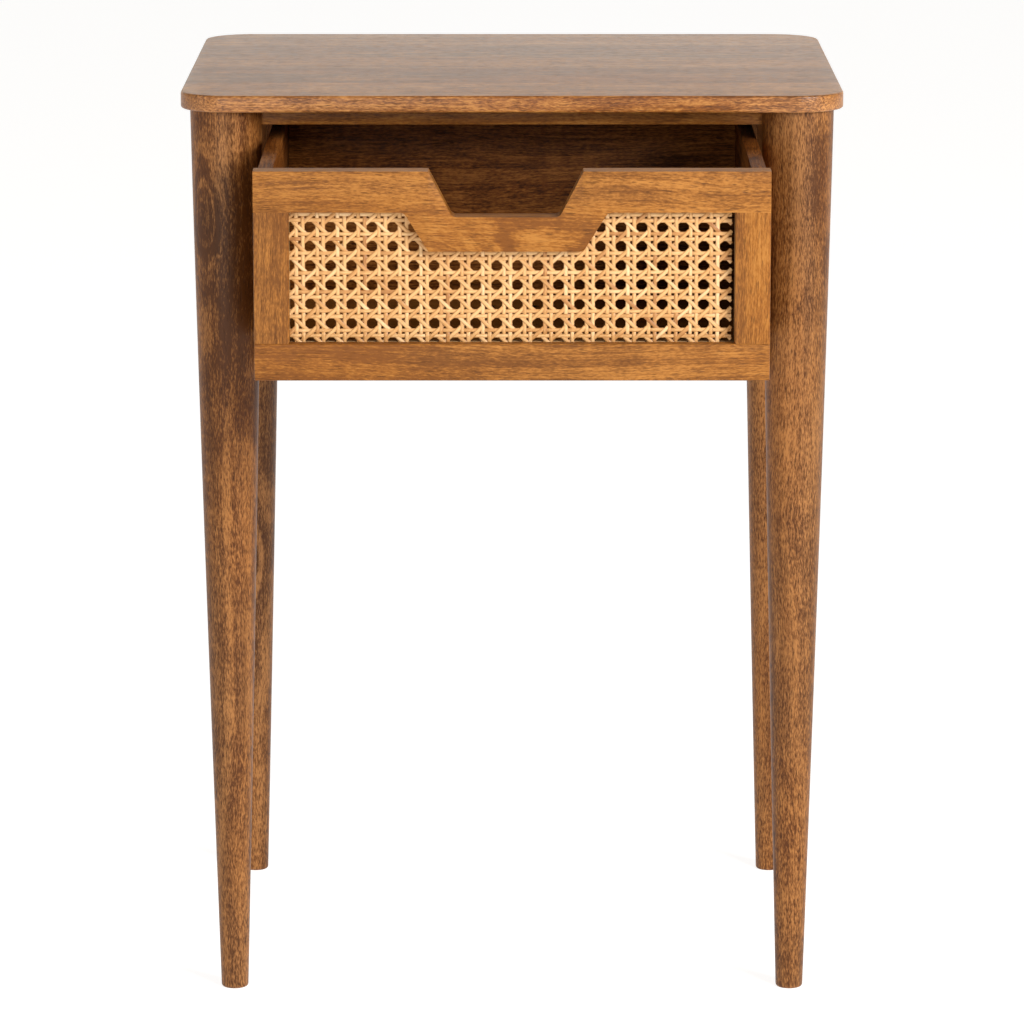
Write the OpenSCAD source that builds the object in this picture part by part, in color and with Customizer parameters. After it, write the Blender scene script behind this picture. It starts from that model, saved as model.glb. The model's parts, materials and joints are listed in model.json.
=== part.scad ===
// Small nightstand: a thin slab on four turned legs, with one drawer.
// X runs to the right, Y to the back, Z up. The origin is on the floor, under
// the middle of the whole outline with the drawer pulled out. The modules work
// from the middle of the slab, and centred() moves what they make.

/* [Overall] */
// Width of the slab
top_w = 450; // [430:1:500]
// Depth of the slab
top_d = 380; // [350:1:420]
// Height of the slab's upper face above the floor
total_h = 630; // [600:1:700]
// Thickness of the slab
top_t = 11.5; // [10:0.5:20]
// Radius of the slab's corners seen from above
corner_r = 34; // [15:1:60]

/* [Legs] */
// Distance from the slab's edge to a leg's axis
leg_inset = 31; // [30:0.5:33]
// Diameter of a leg under the slab
leg_top_d = 49; // [48:0.5:50]
// Diameter of a leg at the floor
leg_foot_d = 18.8; // [15:0.1:24]
// How much a leg swells past a straight taper, on the radius
leg_belly = 0.75; // [0:0.05:1]

/* [Case] */
// Height of the rail under the slab, at the front
top_rail_h = 11.5; // [8:0.5:14]
// Depth of the side and back panels, from the slab downwards
panel_h = 182; // [178:1:190]
// Thickness of the side panels
side_panel_t = 14; // [12:0.5:15]
// Thickness of the back panel
back_panel_t = 12; // [8:0.5:12]
// Thickness of the two front rails
rail_t = 13.5; // [11:0.5:13.5]

/* [Drawer] */
// Width of the drawer's front
front_w = 337.4; // [330:0.2:338]
// Height of the drawer's front
front_h = 138; // [136:1:138]
// Thickness of the drawer's front
front_t = 18; // [15:0.5:20]
// Width of the stiles of the front's frame
stile_w = 23.2; // [20:0.2:30]
// Height of the upper rail of the front's frame, beside the dip
upper_rail_h = 27; // [24:0.5:28]
// Height of the lower rail of the front's frame
lower_rail_h = 24.5; // [20:0.5:30]
// Height of the gap between the front and the rail over it
head_gap = 9.5; // [8:0.5:10]
// Inside depth of the drawer
inner_d = 250; // [200:5:260]
// How far the front is drawn ahead of the slab's edge
open_by = 137; // [60:1:150]
// How far the drawer can still be pulled from there
spare_pull = 30; // [5:1:40]

/* [Handle dip] */
// Depth of the dip cut in the front's upper edge
dip_h = 30; // [25:0.5:32]
// Width of the dip's floor
dip_floor_w = 70; // [60:1:80]
// Width that each sloping side of the dip takes
dip_run = 15.6; // [12:0.1:20]
// Height of the band of wood under the dip
dip_band = 22.6; // [18:0.1:26]
// Width of the band's lower edge
band_floor_w = 101; // [98:1:112]
// Width that each sloping end of the band takes
band_run = 16; // [12:0.5:20]
// How far the dip's middle is off the front's middle
dip_shift = -4; // [-10:0.5:10]

/* [Hidden] */
$fn = 64;

wood = [0.55, 0.34, 0.18];
dark_wood = [0.40, 0.24, 0.13];
pale_wood = [0.66, 0.46, 0.27];
cane = [0.85, 0.70, 0.45];
steel = [0.70, 0.70, 0.70];

eps = 0.01;                 // overshoot of a cut past the face that it opens
slide_gap = 0.3;            // air between two faces that slide past each other
glue_gap = 0.05;            // air round a tongue in its pocket

// Case
leg_x = top_w / 2 - leg_inset;
leg_y = top_d / 2 - leg_inset;
leg_h = total_h - top_t;
tongue_in = 10;             // from a leg's axis to the end of a rail's tongue
panel_in = 12;              // from a leg's axis to the end of a side panel's tongue
rail_ahead = 2.5;           // how far the front rails stand ahead of the legs' axes
back_panel_lap = 1.5;       // air between the side panels' ends and the back panel
rail_x = leg_x - tongue_in;
rail_front = -leg_y - rail_ahead;        // front face of both front rails
rail_back = rail_front + rail_t;
panel_bottom = leg_h - panel_h;
side_panel_end = leg_y - panel_in;
side_panel_x = leg_x - side_panel_t;     // inner face of a side panel
back_panel_y = side_panel_end + back_panel_lap;  // front face of the back panel

// Drawer, where it stands when drawn
front_top = leg_h - top_rail_h - head_gap;
front_bottom = front_top - front_h;
front_y = -top_d / 2 - open_by;
front_back = front_y + front_t;
closed_proud = 1;                        // the closed drawer's face stands this far ahead of the rails
closed_y = rail_front - closed_proud;
side_inset = 2.5;                        // from the front's end to the drawer's side
drawer_side_t = 10;
drawer_back_t = 12;
drawer_bottom_t = 5;
side_x = front_w / 2 - side_inset;       // outer face of a drawer side
side_up = 3;                             // from the front's lower edge to the sides'
side_bottom = front_bottom + side_up;
groove_up = 6;                           // from a side's lower edge to its groove
groove_in = 5;
bottom_z = side_bottom + groove_up;
box_back = front_back + inner_d + drawer_back_t;
cane_in = 8;                             // from the front's face to the cane
cane_t = 2;
rebate = 6;                              // width of the rebate that holds the cane

// Running gear
bottom_rail_h = 20;
foot_gap = 3.2;                          // air between the drawer's front and the rail under it
bottom_rail_top = front_bottom - foot_gap;
runner_h = 14;
runner_w = 26;
runner_top = side_bottom - slide_gap;
guide_h = 40;
guide_gap = 0.7;
guide_x = side_x + guide_gap;            // inner face of a guide
leg_gap = 1;                             // air between the running gear and the legs
gear_front = -leg_y + leg_top_d / 2 + leg_gap;
gear_back = -gear_front;
kicker_set_back = 52;                    // leaves room to tip the drawer out
kicker_front = rail_back + kicker_set_back;
kicker_w = 24;
kicker_gap = 1;
stop_l = 18;
stop_w = 12;
stop_h = 16;
cleat = [60, 22, 17];
screw_r = 2;
screw_head_r = 3.8;
screw_head_h = 2.4;
dowel_r = 4;

// A box given by its lowest and its highest corner
module block(low, high) translate(low) cube(high - low);

// The same thing on the left or on the right: side is -1 or 1
module on_side(side) {
    if (side > 0) children();
    else mirror([1, 0, 0]) children();
}

// A countersunk screw with its head at the origin and its shank along +Z
module screw(length) {
    cylinder(h = screw_head_h, r1 = screw_head_r, r2 = screw_r);
    translate([0, 0, screw_head_h]) cylinder(h = length - screw_head_h, r = screw_r);
}

// The hole that a screw of that length fills
module screw_hole(length) {
    translate([0, 0, -eps]) cylinder(h = screw_head_h + 2 * eps, r1 = screw_head_r, r2 = screw_r);
    cylinder(h = length, r = screw_r);
}

// Puts the origin midway between the slab's back edge and the drawn drawer's face
module centred() translate([0, open_by / 2, 0]) children();

/* Slab */

module rounded_plan(w, d, r) {
    square([w - 2 * r, d], center = true);
    square([w, d - 2 * r], center = true);
    for (x = [-1, 1], y = [-1, 1])
        translate([x * (w / 2 - r), y * (d / 2 - r)]) circle(r, $fn = 96);
}

module top() color(wood)
    difference() {
        translate([0, 0, leg_h]) linear_extrude(top_t) rounded_plan(top_w, top_d, corner_r);
        leg_dowel_places() cylinder(h = dowel_up + glue_gap, r = dowel_r + glue_gap);
        top_screw_places() screw_hole(top_screw_l);
    }

/* Legs */

foot_round = 2;             // rounding of a foot's lower edge
leg_steps = 14;

function leg_r(u) = leg_foot_d / 2 + (leg_top_d - leg_foot_d) / 2 * u
    + leg_belly * 2.6 * u * (1 - u * u);

// Half of a leg's outline, from the axis at the floor up to the slab
function leg_profile() = concat(
    [[0, 0]],
    [for (a = [0 : 22.5 : 67.5])
        [leg_r(0) - foot_round * (1 - sin(a)), foot_round * (1 - cos(a))]],
    [for (i = [0 : leg_steps])
        let (z = foot_round + (leg_h - foot_round) * i / leg_steps)
        [leg_r(z / leg_h), z]],
    [[0, leg_h]]);

// Everything that is let into the front right leg and the back right leg
module let_in_front() {
    rail_body(leg_h - top_rail_h, leg_h + eps, glue_gap);
    rail_body(bottom_rail_top - bottom_rail_h, bottom_rail_top, glue_gap);
    side_panel_body(glue_gap);
}

module let_in_back() {
    side_panel_body(glue_gap);
    back_panel_body(glue_gap);
}

module leg(side, back) color(wood)
    on_side(side) difference() {
        translate([leg_x, (back ? 1 : -1) * leg_y, 0])
            rotate_extrude($fn = 96) polygon(leg_profile());
        if (back) let_in_back(); else let_in_front();
        leg_dowel_places() translate([0, 0, -dowel_down - glue_gap])
            cylinder(h = dowel_down + 2 * glue_gap, r = dowel_r + glue_gap);
    }

/* Rails and panels. Each body takes the air that its pocket adds. */

module rail_body(low, high, air = 0)
    block([-rail_x - air, rail_front - air, low - air], [rail_x + air, rail_back + air, high + air]);

module side_panel_body(air = 0)
    block([side_panel_x - air, -side_panel_end - air, panel_bottom - air],
          [leg_x + air, side_panel_end + air, leg_h + air]);

module back_panel_body(air = 0)
    block([-rail_x - air, back_panel_y - air, panel_bottom - air],
          [rail_x + air, back_panel_y + back_panel_t + air, leg_h + air]);

module front_top_rail() color(wood)
    rail_body(leg_h - top_rail_h, leg_h);

module front_bottom_rail() color(wood)
    rail_body(bottom_rail_top - bottom_rail_h, bottom_rail_top);

module side_panel(side) color(wood)
    on_side(side) difference() {
        side_panel_body();
        guide_screw_places() screw_hole(guide_screw_l);
    }

module back_panel() color(dark_wood) back_panel_body();

/* Running gear */

module runner(side) color(pale_wood)
    on_side(side)
        block([side_panel_x - runner_w, gear_front, runner_top - runner_h],
              [side_panel_x, gear_back, runner_top]);

module guide(side) color(pale_wood)
    on_side(side) difference() {
        block([guide_x, gear_front, runner_top], [side_panel_x, gear_back, runner_top + guide_h]);
        guide_screw_places() screw_hole(guide_screw_l);
    }

module kicker(side) color(pale_wood)
    on_side(side) difference() {
        block([side_panel_x - kicker_w, kicker_front, front_top + kicker_gap],
              [side_panel_x, gear_back, leg_h]);
        top_screw_places() screw_hole(top_screw_l);
    }

module closing_stops() color(pale_wood)
    for (side = [-1, 1]) on_side(side) {
        y = closed_y + box_back - front_y + slide_gap;
        block([side_x - stop_w, y, runner_top], [side_x, y + stop_l, runner_top + stop_h]);
    }

/* Fasteners of the case */

dowel_up = 8;
dowel_down = 16;

module leg_dowel_places()
    for (x = [-1, 1], y = [-1, 1]) translate([x * leg_x, y * leg_y, leg_h]) children();

module leg_dowels() color(pale_wood)
    leg_dowel_places() translate([0, 0, -dowel_down]) cylinder(h = dowel_down + dowel_up, r = dowel_r);

screw_bite = 8;             // depth of the kickers' screws in the slab
screw_end = 25;             // from a kicker's end to its screw
guide_screw_end = 30;
top_screw_l = leg_h - front_top - kicker_gap + screw_bite;

module top_screw_places()
    for (side = [-1, 1], y = [kicker_front + screw_end, gear_back - screw_end])
        translate([side * (side_panel_x - kicker_w / 2), y, front_top + kicker_gap]) children();

module top_screws() color(steel) top_screw_places() screw(top_screw_l);

guide_screw_l = 22;

module guide_screw_places()
    for (side = [-1, 1]) on_side(side)
        for (y = [gear_front + guide_screw_end, 0, gear_back - guide_screw_end])
            translate([guide_x, y, runner_top + guide_h / 2]) rotate([0, 90, 0]) children();

module guide_screws() color(steel) guide_screw_places() screw(guide_screw_l);

/* Drawer front. Its outlines lie in X and Z, seen from the front. */

half_floor = dip_floor_w / 2;
half_mouth = half_floor + dip_run;
band_h = dip_h + dip_band - upper_rail_h;        // how far the band hangs under the upper rail
low_floor = band_floor_w / 2;
low_mouth = low_floor + band_run;
// How far a sloping end moves sideways for each millimetre that the outline grows
band_slip = (norm([band_run, band_h]) - band_run) / band_h;
bend_r = 5;                 // radius of the bends in the dip's outline
mouth_r = 7;                // radius where the dip meets the upper edge
arc_steps = 6;
lead = [50, 0];             // a step along the straight edge beside the first and last bend

// The arc that rounds corner b of the path a, b, c
function round_corner(a, b, c, r) =
    let (
        u = (a - b) / norm(a - b),
        v = (c - b) / norm(c - b),
        half = acos(u * v) / 2,
        reach = r / tan(half),
        middle = b + (u + v) / norm(u + v) * r / sin(half),
        p = b + u * reach,
        q = b + v * reach,
        start = atan2(p[1] - middle[1], p[0] - middle[0]),
        turn = atan2(q[1] - middle[1], q[0] - middle[0]) - start,
        sweep = turn > 180 ? turn - 360 : turn < -180 ? turn + 360 : turn)
    [for (i = [0 : arc_steps])
        let (turned = start + sweep * i / arc_steps)
        middle + r * [cos(turned), sin(turned)]];

// The dip in the upper edge, from left to right
function dip_line() =
    let (
        a = [dip_shift - half_mouth, front_top],
        b = [dip_shift - half_floor, front_top - dip_h],
        c = [dip_shift + half_floor, front_top - dip_h],
        d = [dip_shift + half_mouth, front_top])
    concat(
        round_corner(a - lead, a, b, mouth_r),
        round_corner(a, b, c, bend_r),
        round_corner(b, c, d, bend_r),
        round_corner(c, d, d + lead, mouth_r));

// The upper side of the cane's opening, from right to left, raised by up into the wood
function band_line(up) =
    let (
        top = front_top - upper_rail_h + up,
        low = front_top - dip_h - dip_band + up,
        in = up * band_slip,
        a = [dip_shift + low_mouth - in, top],
        b = [dip_shift + low_floor - in, low],
        c = [dip_shift - low_floor + in, low],
        d = [dip_shift - low_mouth + in, top])
    concat(
        round_corner(a + lead, a, b, bend_r),
        round_corner(a, b, c, bend_r),
        round_corner(b, c, d, bend_r),
        round_corner(c, d, d - lead, bend_r));

// The cane's opening, grown by up on all sides
module opening(up) {
    x = front_w / 2 - stile_w + up;
    z = front_bottom + lower_rail_h - up;
    top = front_top - upper_rail_h + up;
    polygon(concat([[-x, z], [x, z], [x, top]], band_line(up), [[-x, top]]));
}

// Gives a flat outline in X and Z its thickness, from y to y + t
module upright(y, t) translate([0, y + t, 0]) rotate([90, 0, 0]) linear_extrude(t) children();

// The rebate behind the opening, where the cane and its beads lie
module cane_rebate() upright(front_y + cane_in, front_t) opening(rebate);

module drawer_top_rail() color(wood)
    difference() {
        upright(front_y, front_t) polygon(concat(
            [[-front_w / 2, front_top - upper_rail_h], [-front_w / 2, front_top]],
            dip_line(),
            [[front_w / 2, front_top], [front_w / 2, front_top - upper_rail_h]],
            band_line(0)));
        cane_rebate();
    }

module drawer_bottom_rail() color(wood)
    difference() {
        block([-front_w / 2, front_y, front_bottom], [front_w / 2, front_back, front_bottom + lower_rail_h]);
        cane_rebate();
    }

module drawer_stile(side) color(wood)
    difference() {
        on_side(side) block([front_w / 2 - stile_w, front_y, front_bottom + lower_rail_h],
                            [front_w / 2, front_back, front_top - upper_rail_h]);
        cane_rebate();
    }

cane_air = 0.5;             // the sheet is cut a little smaller than its rebate

module cane_panel() color(cane)
    upright(front_y + cane_in, cane_t) opening(rebate - cane_air);

bead_low = front_bottom + lower_rail_h - rebate;
bead_y = front_y + cane_in + cane_t;
bead_x = front_w / 2 - stile_w + rebate;
bead_air = 0.2;

module cane_bead(side) color(pale_wood)
    on_side(side) block([bead_x - rebate, bead_y, bead_low + rebate + bead_air],
                        [bead_x - bead_air, front_back, front_top - upper_rail_h - bead_air]);

module cane_bead_bottom() color(pale_wood)
    block([-bead_x + bead_air, bead_y, bead_low + bead_air],
          [bead_x - bead_air, front_back, bead_low + rebate]);

staple_w = 10;
staple_t = 0.6;
staple_count = 4;
staple_first = 22;          // from the band's mouth to the first staple
staple_step = 16;

// Staples hold the cane's upper edge in the rebate, on each side of the dip
module cane_staples() color(steel)
    for (side = [-1, 1], i = [0 : staple_count - 1])
        translate([side * (low_mouth + staple_first + i * staple_step) + dip_shift, bead_y,
                   front_top - upper_rail_h + rebate / 2])
            block([-staple_w / 2, 0, -staple_t], [staple_w / 2, staple_t, staple_t]);

/* Drawer box */

module groove_body(air = 0)
    block([-side_x + groove_in - air, front_back, bottom_z - air],
          [side_x - groove_in + air, box_back + air, bottom_z + drawer_bottom_t + air]);

module drawer_side(side) color(wood)
    difference() {
        on_side(side) block([side_x - drawer_side_t, front_back, side_bottom],
                            [side_x, box_back, front_top]);
        groove_body(glue_gap);
    }

module drawer_back() color(wood)
    block([-side_x + drawer_side_t, box_back - drawer_back_t, bottom_z + drawer_bottom_t],
          [side_x - drawer_side_t, box_back, front_top]);

module drawer_bottom() color(pale_wood)
    difference() {
        groove_body();
        pull_stop_screw_places() screw_hole(pull_screw_l);
    }

// A cleat under the drawer meets the back of the lower front rail at the full pull
cleat_y = rail_back + spare_pull;
pull_screw_l = 16;

module pull_stop_screw_places()
    for (x = [-1, 1])
        translate([x * cleat[0] / 4, cleat_y + cleat[1] / 2, bottom_z + drawer_bottom_t])
            rotate([180, 0, 0]) children();

module pull_stop() color(pale_wood)
    difference() {
        translate([-cleat[0] / 2, cleat_y, bottom_z - cleat[2]]) cube(cleat);
        pull_stop_screw_places() screw_hole(pull_screw_l);
    }

module pull_stop_screws() color(steel) pull_stop_screw_places() screw(pull_screw_l);

centred() top();
centred() leg(-1, false);  // leg_front_left
centred() leg(1, false);  // leg_front_right
centred() leg(-1, true);  // leg_back_left
centred() leg(1, true);  // leg_back_right
centred() front_top_rail();
centred() front_bottom_rail();
centred() side_panel(-1);  // side_panel_left
centred() side_panel(1);  // side_panel_right
centred() back_panel();
centred() runner(-1);  // runner_left
centred() runner(1);  // runner_right
centred() guide(-1);  // guide_left
centred() guide(1);  // guide_right
centred() kicker(-1);  // kicker_left
centred() kicker(1);  // kicker_right
centred() closing_stops();
centred() leg_dowels();
centred() top_screws();
centred() guide_screws();
centred() drawer_top_rail();
centred() drawer_bottom_rail();
centred() drawer_stile(-1);  // drawer_stile_left
centred() drawer_stile(1);  // drawer_stile_right
centred() cane_panel();
centred() cane_bead(-1);  // cane_bead_left
centred() cane_bead(1);  // cane_bead_right
centred() cane_bead_bottom();
centred() cane_staples();
centred() drawer_side(-1);  // drawer_side_left
centred() drawer_side(1);  // drawer_side_right
centred() drawer_back();
centred() drawer_bottom();
centred() pull_stop();
centred() pull_stop_screws();
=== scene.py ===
# Nightstand with a cane-fronted drawer: the wood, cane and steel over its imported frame.
# Metres throughout, X to the right, Y to the back, Z up.
import json
import math
import random

import bmesh
import bpy
from mathutils import Matrix, Vector

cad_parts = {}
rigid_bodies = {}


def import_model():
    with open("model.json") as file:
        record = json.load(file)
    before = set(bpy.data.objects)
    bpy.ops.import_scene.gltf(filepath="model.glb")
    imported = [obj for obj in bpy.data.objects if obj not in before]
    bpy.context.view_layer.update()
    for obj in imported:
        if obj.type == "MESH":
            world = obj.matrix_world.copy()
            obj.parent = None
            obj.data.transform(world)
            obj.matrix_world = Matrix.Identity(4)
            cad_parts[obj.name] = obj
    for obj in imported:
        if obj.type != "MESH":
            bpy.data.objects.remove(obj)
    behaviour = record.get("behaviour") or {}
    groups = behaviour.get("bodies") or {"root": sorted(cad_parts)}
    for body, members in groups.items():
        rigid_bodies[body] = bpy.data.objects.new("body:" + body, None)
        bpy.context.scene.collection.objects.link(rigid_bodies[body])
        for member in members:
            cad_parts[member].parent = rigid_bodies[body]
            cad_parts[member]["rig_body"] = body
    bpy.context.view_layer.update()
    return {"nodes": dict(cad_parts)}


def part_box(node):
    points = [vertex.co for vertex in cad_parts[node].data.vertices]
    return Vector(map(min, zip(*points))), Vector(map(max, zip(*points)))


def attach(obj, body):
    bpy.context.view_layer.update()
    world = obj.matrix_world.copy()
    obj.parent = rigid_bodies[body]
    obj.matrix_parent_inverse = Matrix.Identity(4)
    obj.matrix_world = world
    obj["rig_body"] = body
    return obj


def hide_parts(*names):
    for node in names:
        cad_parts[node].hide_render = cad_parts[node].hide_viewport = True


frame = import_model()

bpy.ops.object.select_all(action="DESELECT")
mm = 0.001

# The camera stands in front of the slab's middle and looks down a little
camera = {"lens": 193, "sensor": 36, "ahead": 3678 * mm, "height": 1079.5 * mm, "pitch": 11.3}

slabLow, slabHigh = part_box("top")
bpy.ops.object.camera_add(
    location=(0, slabLow.y - camera["ahead"], camera["height"]),
    rotation=(math.radians(90 - camera["pitch"]), 0, 0),
)
viewer = bpy.context.object
viewer.name = "camera"
viewer.data.lens = camera["lens"]
viewer.data.sensor_width = camera["sensor"]
viewer.data.clip_start = 0.1
viewer.data.clip_end = 100
bpy.context.scene.camera = viewer
print("camera placed")


# Shader nodes

class Wire:
    # One output of a node. Sums and products on it add Math nodes.
    def __init__(self, finish, socket):
        self.finish = finish
        self.socket = socket

    def sum(self, operation, first, second=0.0):
        return self.finish.node("ShaderNodeMath", {"operation": operation}, {0: first, 1: second})

    def __add__(self, other):
        return self.sum("ADD", self, other)

    def __radd__(self, other):
        return self.sum("ADD", other, self)

    def __sub__(self, other):
        return self.sum("SUBTRACT", self, other)

    def __rsub__(self, other):
        return self.sum("SUBTRACT", other, self)

    def __mul__(self, other):
        return self.sum("MULTIPLY", self, other)

    def __rmul__(self, other):
        return self.sum("MULTIPLY", other, self)

    def __gt__(self, other):
        return self.sum("GREATER_THAN", self, other)


class Finish:
    # A material and the few ways in which its nodes are made
    def __init__(self, name):
        self.material = bpy.data.materials.new(name)
        self.material.use_nodes = True
        self.tree = self.material.node_tree
        self.tree.nodes.clear()

    def node(self, kind, settings=None, inputs=None, output=0):
        made = self.tree.nodes.new(kind)
        for key, value in (settings or {}).items():
            if key == "stops":
                stops = made.color_ramp.elements
                while len(stops) < len(value):
                    stops.new(1.0)
                for stop, (position, colour) in zip(stops, value):
                    stop.position = position
                    stop.color = (*colour, 1)
            else:
                setattr(made, key, value)
        for key, value in (inputs or {}).items():
            if isinstance(value, Wire):
                self.tree.links.new(value.socket, made.inputs[key])
            else:
                made.inputs[key].default_value = value
        return Wire(self, made.outputs[output])

    def place(self):
        return self.node("ShaderNodeTexCoord", output="Object")

    def vectorMath(self, operation, first, second=(0, 0, 0), output=0):
        return self.node("ShaderNodeVectorMath", {"operation": operation}, {0: first, 1: second}, output)

    def noise(self, vector, stretch, detail=2.0, roughness=0.5, output="Fac"):
        scaled = self.vectorMath("MULTIPLY", vector, stretch)
        return self.node("ShaderNodeTexNoise", None,
                         {"Vector": scaled, "Scale": 1.0, "Detail": detail, "Roughness": roughness}, output)

    def spread(self, value, low, high, least=0.0, most=1.0):
        ends = {"From Min": low, "From Max": high, "To Min": least, "To Max": most}
        return self.node("ShaderNodeMapRange", {"interpolation_type": "SMOOTHSTEP"}, {"Value": value, **ends})

    def ramp(self, value, stops):
        return self.node("ShaderNodeValToRGB", {"stops": stops}, {"Fac": value})

    def mix(self, share, first, second, blend="MIX"):
        # Sockets 6 and 7 of a Mix node are its two colours, and output 2 is the mixed one
        first = first if isinstance(first, Wire) else (*first, 1)
        second = second if isinstance(second, Wire) else (*second, 1)
        return self.node("ShaderNodeMix", {"data_type": "RGBA", "blend_type": blend},
                         {0: share, 6: first, 7: second}, 2)

    def bump(self, height, depth, strength=1.0):
        return self.node("ShaderNodeBump", None,
                         {"Height": height, "Distance": depth, "Strength": strength})

    def surface(self, inputs):
        shader = self.node("ShaderNodeBsdfPrincipled", None, inputs)
        out = self.tree.nodes.new("ShaderNodeOutputMaterial")
        self.tree.links.new(shader.socket, out.inputs["Surface"])
        return self.material


# Wood

# Each look: the colours of its figure from dark to light, and of its greyer stretches
woodLooks = {
    "slab": {
        "dark": (0.150, 0.044, 0.006), "middle": (0.300, 0.100, 0.016), "light": (0.48, 0.20, 0.042),
        "grey": (0.28, 0.135, 0.052), "greyness": 0.4,
        "roughness": 0.36, "gloss": 0.42, "fleck": 1.1, "fibre": 1.7,
    },
    "case": {
        "dark": (0.085, 0.026, 0.005), "middle": (0.195, 0.070, 0.016), "light": (0.335, 0.138, 0.037),
        "grey": (0.175, 0.090, 0.038), "greyness": 0.3,
        "roughness": 0.42, "gloss": 0.18, "fleck": 1.35, "fibre": 1.0,
    },
    "front": {
        "dark": (0.175, 0.055, 0.006), "middle": (0.280, 0.098, 0.012), "light": (0.385, 0.155, 0.027),
        "grey": (0.245, 0.10, 0.022), "greyness": 0.35,
        "roughness": 0.44, "gloss": 0.2, "fleck": 0.85, "fibre": 1.5,
    },
    # The drawer's wood is darker than the front's partly in its own tone and partly as painted shade for the
    # shaded inside of the drawer.
    "drawer": {
        "dark": (0.050, 0.011, 0.001), "middle": (0.155, 0.045, 0.006), "light": (0.28, 0.100, 0.020),
        "grey": (0.14, 0.055, 0.014), "greyness": 0.3,
        "roughness": 0.5, "gloss": 0.12, "fleck": 0.8, "fibre": 1.7,
    },
    "inner": {
        "dark": (0.24, 0.12, 0.042), "middle": (0.38, 0.21, 0.09), "light": (0.50, 0.31, 0.15),
        "grey": (0.36, 0.24, 0.13), "greyness": 0.4,
        "roughness": 0.6, "gloss": 0.3, "fleck": 0.7, "fibre": 1.2,
    },
}
# Repeats per metre along and across the grain of each layer of the figure
grainSize = {"wander": (3.0, 9.0), "fleck": (290, 1300), "fibre": (22, 760), "mottle": (22, 45),
             "curl": (95, 30), "hue": (3.5, 20), "streak": (4.0, 70), "pore": (120, 1400)}
# How strongly the layers show, and how far they are bent
figure = {"wanderBy": 35 * mm, "rings": 0.36, "ringCount": 120, "pithLean": 0.06, "knotPull": 3.0,
          "ragged": 1.6, "fleck": 2.4, "mottle": 0.75, "curl": 0.5, "pores": 0.65,
          "boardJump": (0.37, 0.23, 0.19), "poreDepth": 0.15 * mm}


# How a pattern is turned so that its fibres run along X, Y or Z
grainTurn = {"x": (0, 0, 0), "y": (0, 0, -math.pi / 2), "z": (0, math.pi / 2, 0)}


def distanceFrom(finish, place, spot, size, grain, unevenness, length=2.5):
    # How many sizes away from a spot, which reaches further along the grain and has an uneven edge
    squeeze = [1 / size] * 3
    squeeze["xyz".index(grain)] = 1 / (size * length)
    away = finish.vectorMath("MULTIPLY", finish.vectorMath("SUBTRACT", place, spot), squeeze)
    return finish.vectorMath("LENGTH", away, output="Value") + unevenness


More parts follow.
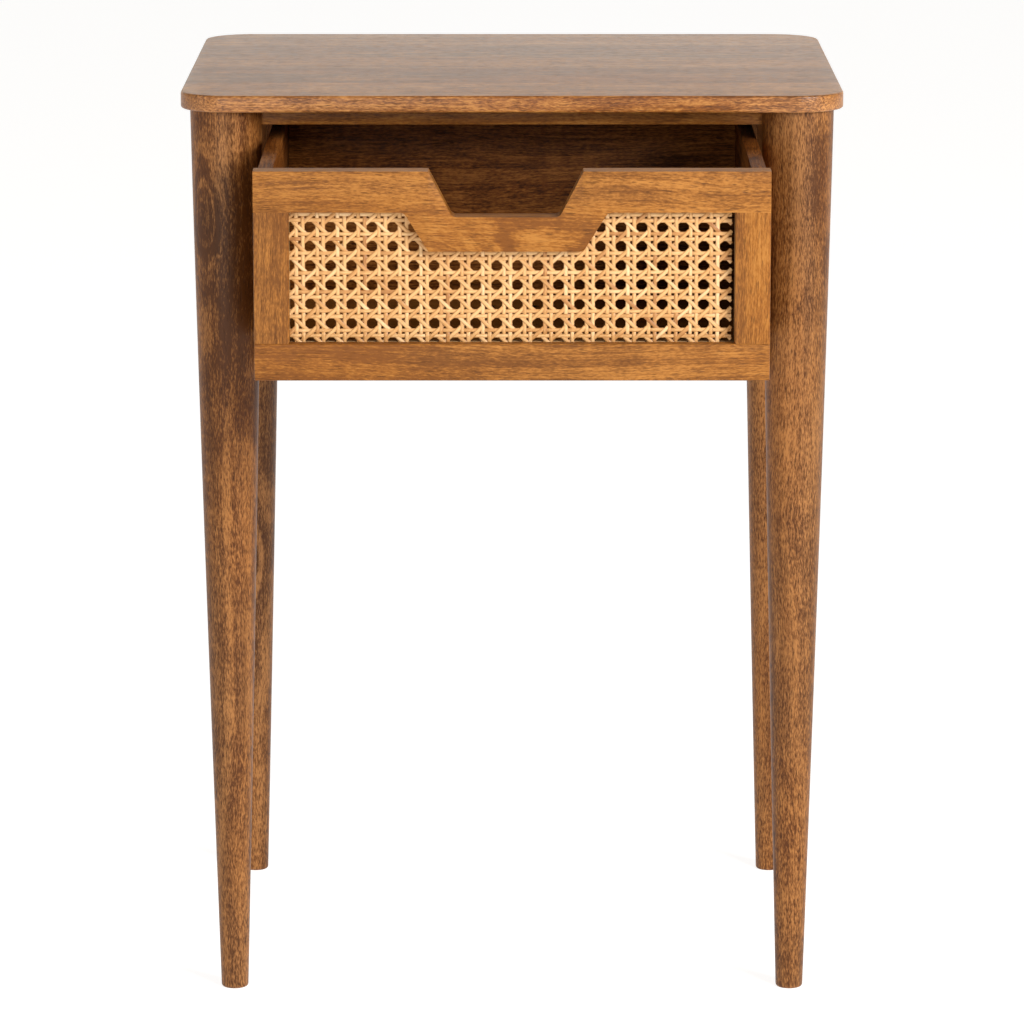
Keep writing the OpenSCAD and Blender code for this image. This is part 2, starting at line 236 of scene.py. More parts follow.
def woodFinish(name, look, grain, seed, knots=(), boards=(), tonePatchesAndShade=(), streaks=0.25):
    look = woodLooks[look]
    finish = Finish(name)
    place = finish.place()
    rng = random.Random(seed)
    shift = [rng.uniform(-4, 4) for axis in range(3)]
    along = finish.node("ShaderNodeMapping", None,
                        {"Vector": place, "Location": shift, "Rotation": grainTurn[grain]})
    tone = 0.5

    def layer(vector, size, detail=2.0, roughness=0.5, output="Fac"):
        lengthwise, across = grainSize[size]
        return finish.noise(vector, (lengthwise, across, across), detail, roughness, output)

    def shade(kind, share):
        return [channel * share for channel in look[kind]]

    # Glued boards: each starts a pattern of its own and has its own tone
    for edge, change in boards:
        depth = finish.node("ShaderNodeSeparateXYZ", None, {0: place}, "Y")
        past = depth > edge
        tone = past * change + tone
        jumps = [past * far for far in figure["boardJump"]]
        jump = finish.node("ShaderNodeCombineXYZ", None, dict(zip("XYZ", jumps)))
        along = finish.vectorMath("ADD", along, jump)
    # The fibres wander slowly
    wander = finish.vectorMath("SUBTRACT", layer(along, "wander", output="Color"), (0.5, 0.5, 0.5))
    wander = finish.vectorMath("MULTIPLY", wander, (0, figure["wanderBy"], figure["wanderBy"]))
    bent = finish.vectorMath("ADD", along, wander)
    # Growth rings round a pith that lies off the piece and leans against its length
    pith = finish.vectorMath("SUBTRACT", bent, (shift[0], shift[1] + rng.uniform(0.03, 0.06),
                                                shift[2] + rng.uniform(-0.07, -0.03)))
    flat = finish.vectorMath("MULTIPLY", pith, (figure["pithLean"], 1, 1))
    ring = finish.vectorMath("LENGTH", flat, output="Value")
    # They swing round each knot, where they show more, and the knot itself is dark
    mottle = layer(bent, "mottle")
    unevenness = (mottle - 0.5) * figure["ragged"]
    knotMask = 0.0
    swirl = figure["rings"]
    for spot, size, heart, rings in knots:
        far = distanceFrom(finish, place, spot, size, grain, unevenness)
        ring = finish.spread(far, 0.0, 4.0, figure["knotPull"] * size, 0.0) + ring
        swirl = finish.spread(far, 1.0, 4.5, rings, 0.0) + swirl
        knotMask = finish.spread(far, 0.2, 1.1, heart, 0.0) + knotMask
    bands = finish.node("ShaderNodeTexNoise", {"noise_dimensions": "1D"},
                        {"W": ring, "Scale": figure["ringCount"], "Detail": 3.0, "Roughness": 0.6})
    fleck = layer(bent, "fleck", 2.0, 0.6)
    fibre = layer(bent, "fibre")
    tone = (finish.spread(bands, 0.28, 0.72) - 0.5) * swirl + tone
    tone = (fleck - 0.5) * (figure["fleck"] * look["fleck"]) + (fibre - 0.5) * look["fibre"] + tone
    # Patches of changed tone; the front left leg's large dark one is partly painted shade.
    for spot, size, change in tonePatchesAndShade:
        far = distanceFrom(finish, place, spot, size, grain, unevenness)
        tone = finish.spread(far, 0.3, 1.6, change, 0.0) + tone
    tone = (mottle - 0.5) * figure["mottle"] + tone
    tone = (layer(bent, "curl", 1.0) - 0.5) * figure["curl"] + tone
    colour = finish.ramp(tone, [(0.0, look["dark"]), (0.5, look["middle"]), (1.0, look["light"])])
    # Greyer stretches
    brightness = finish.ramp(tone, [(0.0, (0.35, 0.35, 0.35)), (0.5, (1, 1, 1)), (1, (1.7, 1.7, 1.7))])
    greyed = finish.mix(1.0, brightness, look["grey"], "MULTIPLY")
    hue = layer(along, "hue")
    colour = finish.mix(finish.spread(hue, 0.40, 0.64, 0.0, look["greyness"]), colour, greyed)
    # Dark mineral streaks
    streak = layer(bent, "streak")
    colour = finish.mix(finish.spread(streak, 0.57, 0.72, 0.0, streaks), colour, shade("dark", 0.5))
    # Pores: short dark dashes along the fibres
    pores = finish.spread(layer(bent, "pore", 1.0), 0.58, 0.72)
    colour = finish.mix(pores * figure["pores"], colour, shade("dark", 0.45))
    if knots:
        colour = finish.mix(knotMask, colour, shade("dark", 0.35))
    rough = finish.spread(fleck, 0.3, 0.7, look["roughness"] - 0.05, look["roughness"] + 0.06)
    rough = rough + pores * 0.12
    height = fleck * 0.5 + fibre * 0.4 - pores
    return finish.surface({"Base Color": colour, "Roughness": rough,
                           "Normal": finish.bump(height, figure["poreDepth"], 0.6),
                           "Specular IOR Level": look["gloss"], "IOR": 1.5})


def steelFinish(name):
    finish = Finish(name)
    place = finish.place()
    cloud = finish.noise(place, (300, 300, 300), 3.0, 0.6)
    brushed = finish.noise(place, (2500, 2500, 400), 2.0, 0.6)
    colour = finish.ramp(cloud, [(0.3, (0.42, 0.41, 0.38)), (0.7, (0.66, 0.65, 0.62))])
    return finish.surface({"Base Color": colour, "Metallic": 1.0,
                           "Roughness": finish.spread(brushed, 0.3, 0.7, 0.28, 0.45),
                           "Normal": finish.bump(brushed, 0.03 * mm)})


# Modelling helpers

def addBox(name, low, high):
    bpy.ops.mesh.primitive_cube_add(size=1, location=(Vector(low) + Vector(high)) / 2)
    piece = bpy.context.object
    piece.name = name
    piece.scale = Vector(high) - Vector(low)
    bpy.ops.object.transform_apply(location=True, rotation=True, scale=True)
    return piece


def editSelected(piece, kind, test):
    # Opens the piece in edit mode with only the edges or faces selected that pass the test
    bpy.ops.object.select_all(action="DESELECT")
    piece.select_set(True)
    bpy.context.view_layer.objects.active = piece
    bpy.ops.object.mode_set(mode="EDIT")
    bpy.ops.mesh.select_mode(type=kind)
    bpy.ops.mesh.select_all(action="DESELECT")
    mesh = bmesh.from_edit_mesh(piece.data)
    for element in {"VERT": mesh.verts, "EDGE": mesh.edges, "FACE": mesh.faces}[kind]:
        if test(element):
            element.select_set(True)
    mesh.select_flush_mode()
    bmesh.update_edit_mesh(piece.data)


def leaveEdit():
    bpy.ops.object.mode_set(mode="OBJECT")
    bpy.ops.object.select_all(action="DESELECT")


def middle(edge):
    return (edge.verts[0].co + edge.verts[1].co) / 2


def isSharp(edge):
    return len(edge.link_faces) == 2 and edge.calc_face_angle() > math.radians(30)


def ease(piece, width, segments=2, where=None):
    # Rounds the sharp edges that lie where the test says
    editSelected(piece, "EDGE", lambda edge: isSharp(edge) and (where is None or where(middle(edge))))
    bpy.ops.mesh.bevel(offset=width, offset_type="OFFSET", segments=segments, profile=0.5,
                       clamp_overlap=True)
    leaveEdit()


def smooth(piece, angle=35):
    bpy.ops.object.select_all(action="DESELECT")
    piece.select_set(True)
    bpy.context.view_layer.objects.active = piece
    bpy.ops.object.shade_smooth_by_angle(angle=math.radians(angle))
    piece.select_set(False)


def cut(piece, low, high):
    # Takes a box out of the piece, as a saw or a router does
    cutter = addBox("cutter", low, high)
    cutAway(piece, cutter)


def cutAway(piece, cutter):
    bpy.ops.object.select_all(action="DESELECT")
    piece.select_set(True)
    bpy.context.view_layer.objects.active = piece
    change = piece.modifiers.new("cut", "BOOLEAN")
    change.operation = "DIFFERENCE"
    change.solver = "EXACT"
    change.object = cutter
    bpy.ops.object.modifier_apply(modifier=change.name)
    bpy.data.objects.remove(cutter)


def handIn(piece, material, slot, *nodes):
    # Gives the finished piece its finish, its body and the nodes that it stands for
    piece.data.materials.clear()
    piece.data.materials.append(material)
    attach(piece, frame["nodes"][nodes[0]]["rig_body"])
    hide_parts(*nodes)
    return piece


# Slab

slab = {"corner": 34 * mm, "cornerSteps": 20, "arris": 1.6 * mm,
        "boards": ((0.20, -0.34), (0.42, 0.30), (0.61, -0.18), (0.80, 0.26))}


def makeSlab():
    piece = addBox("slab", slabLow, slabHigh)
    editSelected(piece, "EDGE", lambda edge: abs(edge.verts[0].co.z - edge.verts[1].co.z) > mm)
    bpy.ops.mesh.bevel(offset=slab["corner"], offset_type="OFFSET", segments=slab["cornerSteps"],
                       profile=0.5)
    leaveEdit()
    ease(piece, slab["arris"], 4)
    smooth(piece)
    depth = slabHigh.y - slabLow.y
    boards = [(slabLow.y + share * depth, tone) for share, tone in slab["boards"]]
    handIn(piece, woodFinish("slabWood", "slab", "x", 11, boards=boards), "top_wood", "top")


makeSlab()
print("slab made")


# Legs

leg = {"foot": 18.8 * mm, "top": 49 * mm, "belly": 0.75 * mm, "footRound": 2 * mm, "roundSteps": 4,
       "sides": 64, "rings": 20}


def legRadius(share):
    # A straight taper and a slight belly. The belly's curve peaks at 1 / 2.6, so that is made up for.
    straight = leg["foot"] / 2 + (leg["top"] - leg["foot"]) / 2 * share
    return straight + leg["belly"] * 2.6 * share * (1 - share * share)


def turnLeg():
    # Turned about the origin: a disc drawn up ring by ring
    height = slabLow.z
    rings = []
    for step in range(1, leg["roundSteps"] + 1):
        turn = math.radians(90 / leg["roundSteps"] * step)
        rings.append((leg["footRound"] * (1 - math.cos(turn)),
                      legRadius(0) - leg["footRound"] * (1 - math.sin(turn))))
    for step in range(1, leg["rings"] + 1):
        z = leg["footRound"] + (height - leg["footRound"]) * step / leg["rings"]
        rings.append((z, legRadius(z / height)))
    radius = legRadius(0) - leg["footRound"]
    bpy.ops.mesh.primitive_circle_add(vertices=leg["sides"], radius=radius, fill_type="NGON")
    piece = bpy.context.object
    bpy.ops.object.mode_set(mode="EDIT")
    bpy.ops.mesh.select_mode(type="FACE")
    bpy.ops.mesh.select_all(action="SELECT")
    z = 0
    for nextZ, nextRadius in rings:
        bpy.ops.mesh.extrude_region_move(TRANSFORM_OT_translate={"value": (0, 0, nextZ - z)})
        bpy.ops.transform.resize(value=(nextRadius / radius, nextRadius / radius, 1),
                                 center_override=(0, 0, nextZ))
        z = nextZ
        radius = nextRadius
    bpy.ops.mesh.select_all(action="SELECT")
    bpy.ops.mesh.normals_make_consistent(inside=False)
    leaveEdit()
    return piece


# Knots and tone patches on each leg, from its foot's middle in mm. A knot has its place, its size,
# how dark its heart is and how strong its rings are; a patch its place, size and change of tone.
legMarks = {
    # The front left leg's first, large dark patch is partly painted shade for the drawer's shadow near the
    # leg's top, and partly the wood's own darker tone.
    "front_left": ([((-13, -19, 548), 7, 0.25, 0.6), ((20, -9, 362), 3.2, 0.7, 0.3)],
                   [((12, -20, 500), 34, -0.6), ((-16, -17, 575), 16, -0.2), ((0, -15, 18), 7, -0.2)]),
    "front_right": ([((4, -9, 93), 2.2, 0.7, 0.2)],
                    [((14, -18, 575), 9, -0.45), ((22, -10, 520), 6, -0.45), ((6, -15, 410), 26, 0.22),
                     ((-14, -18, 590), 14, 0.15)]),
    "back_left": ([((2, -14, 240), 8, 0.5, 0.6), ((-4, -14, 160), 6, 0.2, 0.5)],
                  [((0, -14, 300), 30, -0.15)]),
    "back_right": ([], [((0, -14, 380), 34, 0.2)]),
}


def inMetres(marks, centre):
    return [((centre.x + x * mm, centre.y + y * mm, z * mm), size * mm, *rest)
            for (x, y, z), size, *rest in marks]


def makeLegs():
    pattern = turnLeg()
    for number, (place, (knots, tonePatchesAndShade)) in enumerate(legMarks.items()):
        node = "leg_" + place
        low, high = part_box(node)
        centre = (low + high) / 2
        piece = pattern.copy()
        piece.data = pattern.data.copy()
        piece.name = node + "_wood"
        bpy.context.collection.objects.link(piece)
        piece.data.transform(Matrix.Translation((centre.x, centre.y, 0)))
        smooth(piece)
        finish = woodFinish(node + "Wood", "case", "z", 30 + number, inMetres(knots, centre),
                            tonePatchesAndShade=inMetres(tonePatchesAndShade, centre))
        handIn(piece, finish, "case_wood", node)
    bpy.data.objects.remove(pattern)


makeLegs()
print("legs made")


# Boards of the case and of the drawer: look, slot, grain and how much their edges are eased

boards = {
    # The case's two front rails take the drawer front's lighter look, not the case's: painted light, which
    # brightens the top rail where the slab's overhang shades it.
    "front_top_rail": ("front", "case_wood", "x", 0.8),
    "front_bottom_rail": ("front", "case_wood", "x", 0.8),
    "side_panel_left": ("case", "case_wood", "y", 0.8),
    "side_panel_right": ("case", "case_wood", "y", 0.8),
    "back_panel": ("case", "case_wood", "x", 0.8),
    "runner_left": ("inner", "inner_wood", "y", 0.6),
    "runner_right": ("inner", "inner_wood", "y", 0.6),
    "guide_left": ("inner", "inner_wood", "y", 0.6),
    "guide_right": ("inner", "inner_wood", "y", 0.6),
    "kicker_left": ("inner", "inner_wood", "y", 0.6),
    "kicker_right": ("inner", "inner_wood", "y", 0.6),
    # The drawer's sides and back take the darker drawer look, which is partly painted shade for the drawer's
    # shaded inside.
    "drawer_side_left": ("drawer", "drawer_wood", "y", 0.7),
    "drawer_side_right": ("drawer", "drawer_wood", "y", 0.7),
    "drawer_back": ("drawer", "drawer_wood", "x", 0.7),
    "drawer_bottom": ("front", "drawer_wood", "x", 0.3),
    "pull_stop": ("inner", "inner_wood", "x", 1.0),
    "cane_bead_left": ("inner", "inner_wood", "z", 0.5),
    "cane_bead_right": ("inner", "inner_wood", "z", 0.5),
    "cane_bead_bottom": ("inner", "inner_wood", "x", 0.5),
}


def makeBoards():
    for number, (node, (look, slot, grain, arris)) in enumerate(boards.items()):
        low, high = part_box(node)
        piece = addBox(node + "_wood", low, high)
        if node.startswith("drawer_side"):
            bottomLow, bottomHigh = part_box("drawer_bottom")
            cut(piece, bottomLow - Vector((0, mm, 0)), bottomHigh + Vector((0, mm, 0)))
        ease(piece, arris * mm, 2)
        smooth(piece)
        handIn(piece, woodFinish(node + "Wood", look, grain, 60 + number), slot, node)


makeBoards()
print("boards made")


# Drawer front: two rails and two stiles, rebated behind for the cane

dip = {"depth": 30 * mm, "floor": 70 * mm, "run": 15.6 * mm, "shift": -4 * mm, "bend": 5 * mm,
       "mouthBend": 7 * mm, "band": 22.6 * mm, "bandFloor": 101 * mm, "bandRun": 16 * mm}
front = {"rebate": 6 * mm, "caneIn": 8 * mm, "arris": 0.9 * mm, "bendSteps": 6}
near = 0.01 * mm
stileLow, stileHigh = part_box("drawer_stile_right")
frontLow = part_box("drawer_bottom_rail")[0]
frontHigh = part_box("drawer_top_rail")[1]
# The frame's opening, beside the band
openX = stileLow.x
openLow = stileLow.z
openHigh = stileHigh.z
bandHeight = openHigh - (frontHigh.z - dip["depth"] - dip["band"])
# How far a sloping end moves sideways for each unit that its outline is raised
bandSlip = (math.hypot(dip["bandRun"], bandHeight) - dip["bandRun"]) / bandHeight


def outline(halfFloor, floorZ, run, topZ):
    # Four bends from left to right, as (x, z)
    xs = (-halfFloor - run, -halfFloor, halfFloor, halfFloor + run)
    return [(dip["shift"] + x, z) for x, z in zip(xs, (topZ, floorZ, floorZ, topZ))]


def dipOutline():
    return outline(dip["floor"] / 2, frontHigh.z - dip["depth"], dip["run"], frontHigh.z)


def bandOutline(up=0.0):
    # The band's lower edge, raised by up into the wood
    halfFloor = dip["bandFloor"] / 2 - up * bandSlip
    return outline(halfFloor, openHigh - bandHeight + up, dip["bandRun"], openHigh + up)


def heightOn(outline, x):
    for (x0, z0), (x1, z1) in zip(outline, outline[1:]):
        if x0 <= x <= x1:
            return z0 + (z1 - z0) * (x - x0) / (x1 - x0)
    return outline[0][1]


def bentBar(name, xRange, yRange, under, over):
    # A bar whose lower and upper faces follow two outlines: a box cut at each bend, then moved
    xs = sorted(x for x, z in under + over)
    piece = addBox(name, (xRange[0], yRange[0], 0), (xRange[1], yRange[1], 1))
    editSelected(piece, "FACE", lambda face: True)
    for x in xs:
        bpy.ops.mesh.select_all(action="SELECT")
        bpy.ops.mesh.bisect(plane_co=(x, 0, 0), plane_no=(1, 0, 0))
    leaveEdit()
    for corner in piece.data.vertices:
        corner.co.z = heightOn(over if corner.co.z > 0.5 else under, corner.co.x)
    return piece


def roundBends(piece, bends, run, rise, radii):
    # Rounds the edges across the bar at the bends of one outline
    reach = math.tan(math.atan2(rise, run) / 2)
    for (x, z), radius in zip(bends, radii):
        editSelected(piece, "EDGE", lambda edge: abs(middle(edge).x - x) < near
                     and abs(middle(edge).z - z) < near
                     and abs(edge.verts[0].co.y - edge.verts[1].co.y) > mm)
        bpy.ops.mesh.bevel(offset=radius * reach, offset_type="OFFSET", segments=front["bendSteps"],
                           profile=0.5)
        leaveEdit()


def makeTopRail():
    rail = bentBar("drawer_top_rail_wood", (frontLow.x, frontHigh.x), (frontLow.y, frontHigh.y),
                   bandOutline(), dipOutline())
    roundBends(rail, dipOutline(), dip["run"], dip["depth"],
               [dip["mouthBend"], dip["bend"], dip["bend"], dip["mouthBend"]])
    roundBends(rail, bandOutline(), dip["bandRun"], bandHeight, [dip["bend"]] * 4)
    # The rebate behind: a bar under the raised outline, taken out of the rail
    raised = bandOutline(front["rebate"])
    ground = [(x, frontLow.z) for x, z in raised]
    side = openX + front["rebate"]
    depth = (frontLow.y + front["caneIn"], frontHigh.y + mm)
    cutter = bentBar("cutter", (-side, side), depth, ground, raised)
    cutAway(rail, cutter)
    ease(rail, front["arris"], 3, lambda p: p.y < frontHigh.y - mm
         and not (abs(p.z - openHigh) < near and abs(p.x) > openX))
    smooth(rail, 30)
    # Arched rings in the band, which have no dark heart
    swirl = ((17 * mm, frontLow.y, openHigh - 34 * mm), 9 * mm, 0.0, 1.3)
    handIn(rail, woodFinish("topRailWood", "front", "x", 101, [swirl], streaks=0.1),
           "front_wood", "drawer_top_rail")


# Darker parts of the front's bars: how far along X from the middle, size and change of tone
frontDarkerParts = {"drawer_bottom_rail": [(-110 * mm, 70 * mm, -0.32)],
               "drawer_stile_left": [(0, 40 * mm, -0.22)]}


def makeFrontBars():
    # The lower rail and the stiles keep sharp edges where they meet another piece of the frame
    rebateLow = Vector((-openX - front["rebate"], frontLow.y + front["caneIn"], openLow - front["rebate"]))
    rebateHigh = Vector((openX + front["rebate"], frontHigh.y + mm, frontHigh.z))
    for number, (node, grain) in enumerate([("drawer_bottom_rail", "x"), ("drawer_stile_left", "z"),
                                            ("drawer_stile_right", "z")]):
        low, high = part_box(node)
        piece = addBox(node + "_wood", low, high)
        cut(piece, rebateLow, rebateHigh)
        ease(piece, front["arris"], 3, lambda p: not (
            abs(p.z - openLow) < near and abs(p.x) > openX or abs(p.z - openHigh) < near))
        smooth(piece, 30)
        tonePatchesAndShade = [(((low.x + high.x) / 2 + aside, low.y, (low.z + high.z) / 2), size, change)
                  for aside, size, change in frontDarkerParts.get(node, ())]
        finish = woodFinish(node + "Wood", "front", grain, 111 + number, tonePatchesAndShade=tonePatchesAndShade)
        handIn(piece, finish, "front_wood", node)


makeTopRail()
makeFrontBars()
print("drawer front made")


# Cane: pairs of uprights and crosses with a slanting strand each way between the holes

cane = {"pitchX": 13.55 * mm, "pitchZ": 12.7 * mm, "holeX": 3.4 * mm, "holeZ": 521.65 * mm,
        "pairX": 4.2 * mm, "pairZ": 3.5 * mm, "width": 2.55 * mm, "thick": 0.75 * mm,
        "swing": 0.38 * mm, "slantSwing": 0.74 * mm, "steps": 10, "uneven": 0.24 * mm,
        "inRebate": 5.5 * mm, "rightGap": 2.2 * mm, "shortest": 3 * mm, "seed": 7,
        "columns": 14, "rows": 5, "slants": 20, "waves": 41, "slantWaves": 31, "reach": 400 * mm,
        "turn": 0.0025, "widths": (0.93, 1.06), "ownSkin": 0.731}


def caneFinish():
    finish = Finish("caneSkin")
    strand = finish.node("ShaderNodeUVMap", {"uv_map": "strand"})
    fibres = finish.noise(strand, (70, 2600, 0), 2.0, 0.6)
    blotch = finish.noise(strand, (45, 160, 0), 2.0, 0.5)
    own = finish.noise(strand, (5, 0, 0), 1.0, 0.5)
    tone = (fibres - 0.5) * 0.8 + (blotch - 0.5) * 0.9 + (own - 0.5) * 2.2 + 0.52
    colour = finish.ramp(tone, [(0.0, (0.30, 0.115, 0.030)), (0.3, (0.51, 0.25, 0.080)),
                                (0.6, (0.65, 0.37, 0.145)), (1.0, (0.78, 0.52, 0.27))])
    nodes = finish.noise(strand, (30, 90, 0), 1.0, 0.5)
    colour = finish.mix(finish.spread(nodes, 0.66, 0.74, 0.0, 0.45), colour, (0.36, 0.15, 0.045))
    # Browner along both edges
    across = finish.node("ShaderNodeSeparateXYZ", None, {0: strand}, "Y")
    edge = finish.node("ShaderNodeMath", {"operation": "ABSOLUTE"}, {0: across})
    colour = finish.mix(finish.spread(edge, 0.6 * mm, 1.15 * mm, 0.0, 0.55), colour, (0.30, 0.115, 0.030))
    return finish.surface({"Base Color": colour, "Roughness": finish.spread(fibres, 0.3, 0.7, 0.34, 0.5),
                           "Normal": finish.bump(fibres, 0.06 * mm, 0.7), "Specular IOR Level": 0.35})


def strandPattern(period, heights, count):
    # A long open strand along X: a flat six-sided ring drawn out through one wave, then repeated
    bpy.ops.mesh.primitive_circle_add(vertices=6, radius=cane["width"] / 2, rotation=(0, math.pi / 2, 0))
    piece = bpy.context.object
    bpy.ops.object.transform_apply(location=True, rotation=True, scale=True)
    bpy.ops.object.mode_set(mode="EDIT")
    bpy.ops.mesh.select_all(action="SELECT")
    ring = bmesh.from_edit_mesh(piece.data).verts
    if max(v.co.y for v in ring) < cane["width"] * 0.49:
        bpy.ops.transform.rotate(value=math.pi / 6, orient_axis="X", center_override=(0, 0, 0))
    bpy.ops.transform.resize(value=(1, 1, cane["thick"] / cane["width"] * 1.15), center_override=(0, 0, 0))
    bpy.ops.transform.translate(value=(heights[0][0], 0, heights[0][1]))
    for (x, z), (nextX, nextZ) in zip(heights, heights[1:]):
        bpy.ops.mesh.extrude_edges_move(TRANSFORM_OT_translate={"value": (nextX - x, 0, nextZ - z)})
    leaveEdit()
    bpy.context.view_layer.objects.active = piece
    piece.select_set(True)
    repeat = piece.modifiers.new("repeat", "ARRAY")
    repeat.use_relative_offset = False
    repeat.use_constant_offset = True
    repeat.constant_offset_displace = (period, 0, 0)
    repeat.count = count
    repeat.use_merge_vertices = True
    repeat.merge_threshold = 1e-6
    bpy.ops.object.modifier_apply(modifier=repeat.name)
    piece.data.transform(Matrix.Translation((-period * (count // 2), 0, 0)))
    bpy.ops.object.mode_set(mode="EDIT")
    bpy.ops.mesh.select_all(action="SELECT")
    bpy.ops.mesh.normals_make_consistent(inside=False)
    leaveEdit()
    skin = piece.data.uv_layers.new(name="strand")
    for loop in piece.data.loops:
        corner = piece.data.vertices[loop.vertex_index].co
        skin.data[loop.index].uv = (corner.x, corner.y)
    return piece


def insideSheet(x, z):
    high = heightOn(bandOutline(cane["inRebate"]), x)
    inWidth = -openX - cane["inRebate"] < x < openX - cane["rightGap"]
    return inWidth and openLow - cane["inRebate"] < z < high


def stretches(x, z, dx, dz, reach):
    # The parts of a line that lie in the sheet, as distances from its start
    step = 0.25 * mm
    found = []
    start = None
    for number in range(int(-reach / step), int(reach / step)):
        s = number * step
        if insideSheet(x + dx * s, z + dz * s):
            start = s if start is None else start
        elif start is not None:
            found.append((start, s))
            start = None
    return [(a, b) for a, b in found if b - a > cane["shortest"]]


def layStrand(pattern, strands, rng, x, z, dx, dz, flip=1):
    # Copies the pattern, cuts it to what lies in the sheet and lays it along (dx, dz)
    sheetLow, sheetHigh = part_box("cane_panel")
    aside = rng.uniform(-1, 1) * cane["uneven"]
    turn = rng.uniform(-1, 1) * cane["turn"]
    widen = rng.uniform(*cane["widths"])
    for start, end in stretches(x, z, dx, dz, cane["reach"]):
        piece = pattern.copy()
        piece.data = pattern.data.copy()
        bpy.context.collection.objects.link(piece)
        piece.select_set(True)
        bpy.context.view_layer.objects.active = piece
        bpy.ops.object.mode_set(mode="EDIT")
        bpy.ops.mesh.select_all(action="SELECT")
        bpy.ops.mesh.bisect(plane_co=(start, 0, 0), plane_no=(1, 0, 0), use_fill=True, clear_inner=True)
        bpy.ops.mesh.select_all(action="SELECT")
        bpy.ops.mesh.bisect(plane_co=(end, 0, 0), plane_no=(1, 0, 0), use_fill=True, clear_outer=True)
        leaveEdit()
        number = len(strands)
        for corner in piece.data.uv_layers["strand"].data:
            corner.uv.x += number * cane["ownSkin"]
        frameOf = Matrix(((dx, -dz, 0, x), (0, 0, -1, (sheetLow.y + sheetHigh.y) / 2),
                          (dz, dx, 0, z), (0, 0, 0, 1)))
        own = Matrix.Translation((0, aside, 0)) @ Matrix.Rotation(turn, 4, "Z")
        own = own @ Matrix.Diagonal((1, widen, flip, 1))
        piece.data.transform(frameOf @ own)
        if flip < 0:
            piece.data.flip_normals()
        strands.append(piece)


def waveOver(pair, period):
    # Up over one strand of a pair and down under the other, level between the pairs
    places = [i * pair / 4 for i in range(-4, 5)]
    heights = [(s, cane["swing"] * math.sin(math.pi * s / pair)) for s in places]
    return [(-period / 2, 0)] + heights + [(period / 2, 0)]


def makeCane():
    rng = random.Random(cane["seed"])
    strands = []
    upright = strandPattern(cane["pitchZ"], waveOver(cane["pairZ"], cane["pitchZ"]), cane["waves"])
    cross = strandPattern(cane["pitchX"], waveOver(cane["pairX"], cane["pitchX"]), cane["waves"])
    length = math.hypot(cane["pitchX"], cane["pitchZ"])
    shares = [i / cane["steps"] for i in range(cane["steps"] + 1)]
    wave = [(length * (share - 0.5), -cane["slantSwing"] * math.cos(2 * math.pi * share))
            for share in shares]
    slant = strandPattern(length, wave, cane["slantWaves"])
    for column in range(-cane["columns"], cane["columns"]):
        x = cane["holeX"] + cane["pitchX"] * (column + 0.5)
        for side in (-1, 1):
            z = cane["holeZ"] + cane["pitchZ"] / 2
            layStrand(upright, strands, rng, x + side * cane["pairX"] / 2, z, 0, 1, -side)
    for row in range(-cane["rows"], cane["rows"] + 1):
        z = cane["holeZ"] + cane["pitchZ"] * (row + 0.5)
        for side in (-1, 1):
            x = cane["holeX"] + cane["pitchX"] / 2
            layStrand(cross, strands, rng, x, z + side * cane["pairZ"] / 2, 1, 0, side)
    dx = cane["pitchX"] / length
    dz = cane["pitchZ"] / length
    for column in range(-cane["slants"], cane["slants"]):
        x = cane["holeX"] + cane["pitchX"] * (column + 0.5)
        layStrand(slant, strands, rng, x, cane["holeZ"], dx, -dz, 1)
        layStrand(slant, strands, rng, x, cane["holeZ"], dx, dz, -1)
    for pattern in (upright, cross, slant):
        bpy.data.objects.remove(pattern)
    for piece in strands:
        piece.select_set(True)
    bpy.context.view_layer.objects.active = strands[0]
    bpy.ops.object.join()
    weave = bpy.context.object
    weave.name = "cane_weave"
    smooth(weave, 40)
    return handIn(weave, caneFinish(), "cane", "cane_panel")


makeCane()
print("cane made")


# Small parts kept from the frame, with their finishes
keptParts = {"closing_stops": "wood", "leg_dowels": "wood", "top_screws": "steel", "guide_screws": "steel",
             "pull_stop_screws": "steel", "cane_staples": "steel"}


def finishKeptParts():
    finishes = {"wood": woodFinish("beechPegs", "inner", "z", 201, streaks=0.0),
                "steel": steelFinish("zincSteel")}
    for node, kind in keptParts.items():
        for place in frame["nodes"][node].material_slots:
            place.material = finishes[kind]


finishKeptParts()
print("small parts finished")


# Floor and light

floor = {"size": 60.0, "colour": (0.50, 0.50, 0.495), "glow": 0.82}


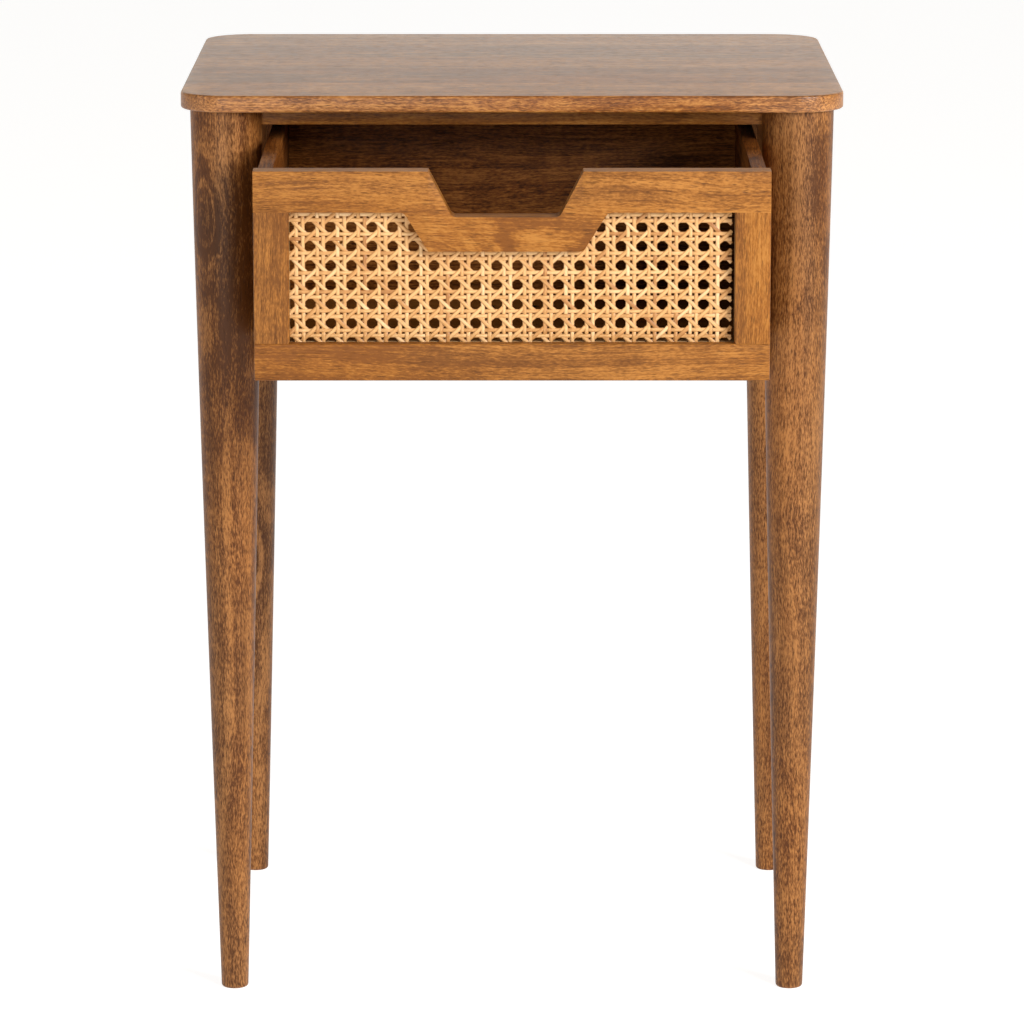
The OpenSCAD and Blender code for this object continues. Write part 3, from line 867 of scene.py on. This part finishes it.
def makeStage():
    bpy.ops.mesh.primitive_plane_add(size=floor["size"], location=(0, 0, 0))
    ground = bpy.context.object
    ground.name = "floor"
    finish = Finish("floorPaint")
    cloud = finish.noise(finish.place(), (1.5, 1.5, 1.5), 2.0, 0.5)
    colour = finish.ramp(cloud, [(0.3, [c * 0.99 for c in floor["colour"]]), (0.7, floor["colour"])])
    ground.data.materials.append(finish.surface({
        "Base Color": colour, "Roughness": 0.9, "Specular IOR Level": 0.1,
        "Emission Color": (1, 1, 1, 1), "Emission Strength": floor["glow"]}))


lights = {
    "key": {"place": (2.6, -3.2, 2.2), "size": 1.8, "power": 235, "colour": (1.0, 0.985, 0.96)},
    "fill": {"place": (-1.2, -4.2, 0.7), "size": 2.2, "power": 48, "colour": (1.0, 0.99, 0.97)},
    "side": {"place": (-3.0, -1.2, 1.5), "size": 1.4, "power": 16, "colour": (0.97, 0.985, 1.0)},
}
# The studio's walls: dim in front, bright behind the table
walls = {"front": 0.14, "back": 1.38, "from": 0.55, "full": 0.95, "colour": (1.0, 0.945, 0.86, 1)}


def makeLights():
    target = Vector((0, slabLow.y, slabLow.z * 0.75))
    for name, light in lights.items():
        bpy.ops.object.light_add(type="AREA", location=light["place"])
        lamp = bpy.context.object
        lamp.name = name
        lamp.data.size = light["size"]
        lamp.data.energy = light["power"]
        lamp.data.color = light["colour"]
        lamp.rotation_euler = (Vector(light["place"]) - target).to_track_quat("Z", "Y").to_euler()
    world = bpy.data.worlds.new("studio")
    bpy.context.scene.world = world
    world.use_nodes = True
    nodes = world.node_tree.nodes
    links = world.node_tree.links
    way = nodes.new("ShaderNodeTexCoord")
    split = nodes.new("ShaderNodeSeparateXYZ")
    strength = nodes.new("ShaderNodeMapRange")
    strength.interpolation_type = "SMOOTHSTEP"
    strength.inputs["From Min"].default_value = walls["from"]
    strength.inputs["From Max"].default_value = walls["full"]
    strength.inputs["To Min"].default_value = walls["front"]
    strength.inputs["To Max"].default_value = walls["back"]
    links.new(way.outputs["Generated"], split.inputs[0])
    links.new(split.outputs["Y"], strength.inputs["Value"])
    sky = nodes["Background"]
    sky.inputs["Color"].default_value = walls["colour"]
    links.new(strength.outputs[0], sky.inputs["Strength"])
    bpy.context.scene.view_settings.view_transform = "Standard"


makeStage()
makeLights()
print("stage made")
